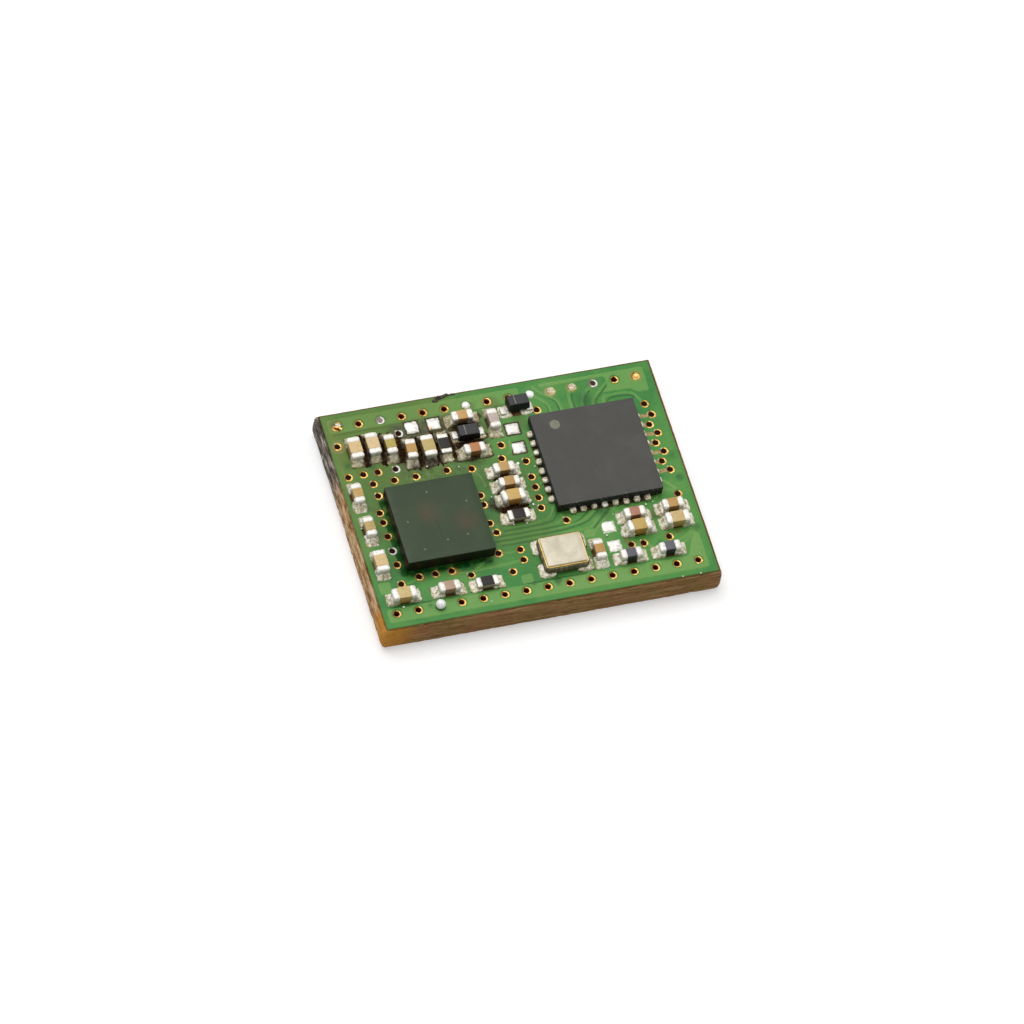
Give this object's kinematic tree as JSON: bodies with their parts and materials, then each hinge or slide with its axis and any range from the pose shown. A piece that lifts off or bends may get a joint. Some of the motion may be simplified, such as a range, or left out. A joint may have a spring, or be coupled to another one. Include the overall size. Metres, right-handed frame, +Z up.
{
  "type": "distance sensor module",
  "caption": "Small green circuit module that measures distance: a ball-mounted sensor package, a leadless controller and a lidded crystal on a thick board with edge contacts.",
  "frame": {"origin": "middle of the underside of the board", "axes": "+X along the long side towards the controller, +Y towards the far long side, +Z up out of the component side"},
  "size_m": [0.0158, 0.0118, 0.0023],
  "materials": {
    "laminate": "rough cut glass-fibre laminate, brown, charred along one side",
    "solder_mask": "green satin solder mask over copper",
    "gold_plate": "gold-plated copper",
    "tin_plate": "tin-plated metal",
    "solder": "dull reflowed solder with flux residue",
    "mcu_moulding": "dark grey moulding compound",
    "black_moulding": "black moulding compound",
    "sensor_skin": "dark green satin package skin",
    "crystal_ceramic": "dark grey package ceramic",
    "crystal_lid": "matt pale metal lid",
    "quartz": "thin clear quartz",
    "silver_glue": "silver-filled glue",
    "ceramic_tan": "unglazed tan ceramic",
    "ceramic_ochre": "unglazed ochre ceramic",
    "ceramic_brown": "unglazed red-brown ceramic",
    "ceramic_mauve": "unglazed mauve-grey ceramic",
    "ferrite_grey": "dark grey ferrite",
    "alumina": "white alumina",
    "resistor_coat": "black protective coat"
  },
  "bodies": {
    "root": {"board_laminate": "laminate", "solder_mask_top": "solder_mask", "solder_mask_bottom": "solder_mask", "edge_via_plating": "gold_plate", "inner_via_plating": "gold_plate", "via_solder": "solder", "bare_lands": "tin_plate", "contact_lands": "gold_plate", "bare_land_solder": "solder", "mcu_body": "mcu_moulding", "mcu_leads": "tin_plate", "mcu_thermal_pad": "tin_plate", "mcu_solder": "solder", "sensor_body": "sensor_skin", "sensor_balls": "solder", "crystal_base": "crystal_ceramic", "crystal_terminals": "gold_plate", "crystal_seal_ring": "gold_plate", "crystal_lid": "crystal_lid", "crystal_blank": "quartz", "crystal_glue": "silver_glue", "crystal_solder": "solder", "ferrite_bead_1": "ferrite_grey", "ferrite_bead_2": "ferrite_grey", "diode_1_body": "black_moulding", "diode_2_body": "black_moulding", "capacitor_terminations": "tin_plate", "capacitor_solder": "solder", "resistor_terminations": "tin_plate", "resistor_solder": "solder", "diode_leads": "tin_plate", "diode_solder": "solder", "resistor_1_substrate": "alumina", "resistor_1_coat": "resistor_coat", "resistor_2_substrate": "alumina", "resistor_2_coat": "resistor_coat", "resistor_3_substrate": "alumina", "resistor_3_coat": "resistor_coat", "capacitor_01": "ceramic_tan", "capacitor_02": "ceramic_tan", "capacitor_05": "ceramic_tan", "capacitor_11": "ceramic_tan", "capacitor_15": "ceramic_tan", "capacitor_21": "ceramic_tan", "capacitor_03": "ceramic_ochre", "capacitor_04": "ceramic_ochre", "capacitor_06": "ceramic_ochre", "capacitor_09": "ceramic_ochre", "capacitor_10": "ceramic_ochre", "capacitor_12": "ceramic_ochre", "capacitor_13": "ceramic_ochre", "capacitor_14": "ceramic_ochre", "capacitor_17": "ceramic_ochre", "capacitor_19": "ceramic_ochre", "capacitor_20": "ceramic_ochre", "capacitor_07": "ceramic_brown", "capacitor_16": "ceramic_brown", "capacitor_18": "ceramic_brown", "capacitor_08": "ceramic_mauve"}
  },
  "joints": []
}
